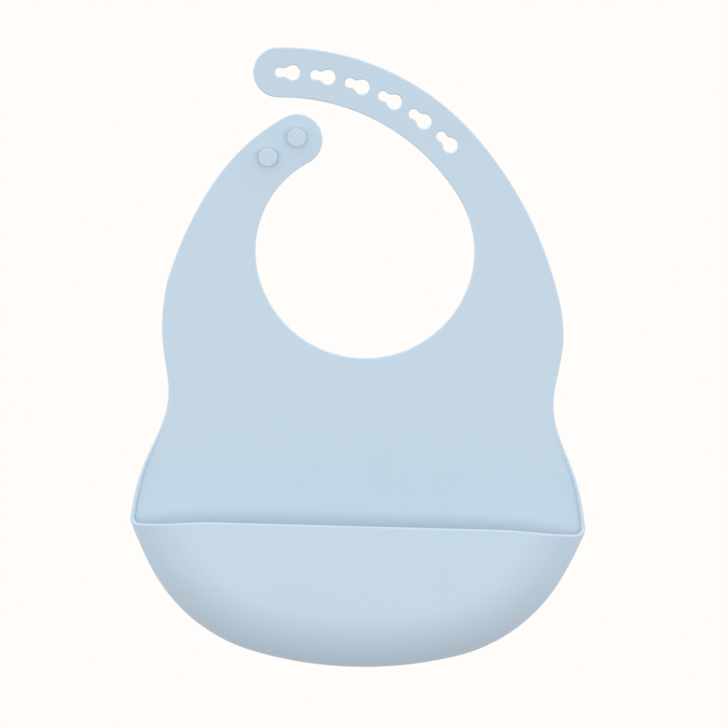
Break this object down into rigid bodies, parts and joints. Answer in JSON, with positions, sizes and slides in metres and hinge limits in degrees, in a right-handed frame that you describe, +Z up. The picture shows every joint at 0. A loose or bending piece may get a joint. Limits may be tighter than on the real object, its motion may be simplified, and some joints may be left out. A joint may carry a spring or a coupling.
{
  "type": "silicone feeding bib",
  "caption": "Flexible silicone feeding bib: a waisted panel with a scooped catch pocket below and two curved neck straps that button together, one with keyholes and one with studs.",
  "frame": {"origin": "centre of the neck opening at half the sheet's thickness", "axes": "+Z up from the pocket towards the neck, +X to the viewer's right, the front with the pocket and studs faces -Y"},
  "size_m": [0.2302, 0.027, 0.3122],
  "materials": {
    "silicone": "matt moulded silicone, pale blue"
  },
  "bodies": {
    "chest": {"chest_panel": "silicone"},
    "lower": {"lower_panel": "silicone", "pocket_walls": "silicone", "side_rim_left": "silicone", "side_rim_right": "silicone"},
    "pocket_front": {"pocket_front": "silicone"},
    "button_root": {"button_strap_root": "silicone"},
    "button_end": {"button_strap_end": "silicone", "stud_upper": "silicone", "stud_lower": "silicone"},
    "keyhole_root": {"keyhole_strap_root": "silicone"},
    "keyhole_middle": {"keyhole_strap_middle": "silicone"},
    "keyhole_end": {"keyhole_strap_end": "silicone"}
  },
  "joints": [
    {"name": "waist_fold", "type": "hinge", "parent": "chest", "child": "lower", "pos_m": [0, 0, -0.076], "axis": [-1, 0, 0], "range_deg": [-110, 110], "stiffness_Nm_per_rad": 0.3},
    {"name": "pocket_mouth_opening", "type": "hinge", "parent": "lower", "child": "pocket_front", "pos_m": [0, -0.025, -0.1865], "axis": [1, 0, 0], "range_deg": [-15, 30], "stiffness_Nm_per_rad": 0.05},
    {"name": "button_shoulder_bend", "type": "hinge", "parent": "chest", "child": "button_root", "pos_m": [-0.072, 0, 0.005], "axis": [-1, 0, 0], "range_deg": [-90, 90], "stiffness_Nm_per_rad": 0.03},
    {"name": "button_strap_curl", "type": "hinge", "parent": "button_root", "child": "button_end", "pos_m": [-0.06181, 0, 0.03286], "axis": [-0.8829, 0, 0.4695], "range_deg": [-60, 60], "stiffness_Nm_per_rad": 0.02},
    {"name": "keyhole_shoulder_bend", "type": "hinge", "parent": "chest", "child": "keyhole_root", "pos_m": [0.072, 0, 0.005], "axis": [-1, 0, 0], "range_deg": [-90, 90], "stiffness_Nm_per_rad": 0.05},
    {"name": "keyhole_strap_curl", "type": "hinge", "parent": "keyhole_root", "child": "keyhole_middle", "pos_m": [0.05603, 0, 0.03678], "axis": [-0.829, 0, -0.5592], "range_deg": [-60, 60], "stiffness_Nm_per_rad": 0.03},
    {"name": "keyhole_tip_curl", "type": "hinge", "parent": "keyhole_middle", "child": "keyhole_end", "pos_m": [0.00221, 0, 0.08028], "axis": [-0.373, 0, -0.9278], "range_deg": [-60, 60], "stiffness_Nm_per_rad": 0.02}
  ]
}
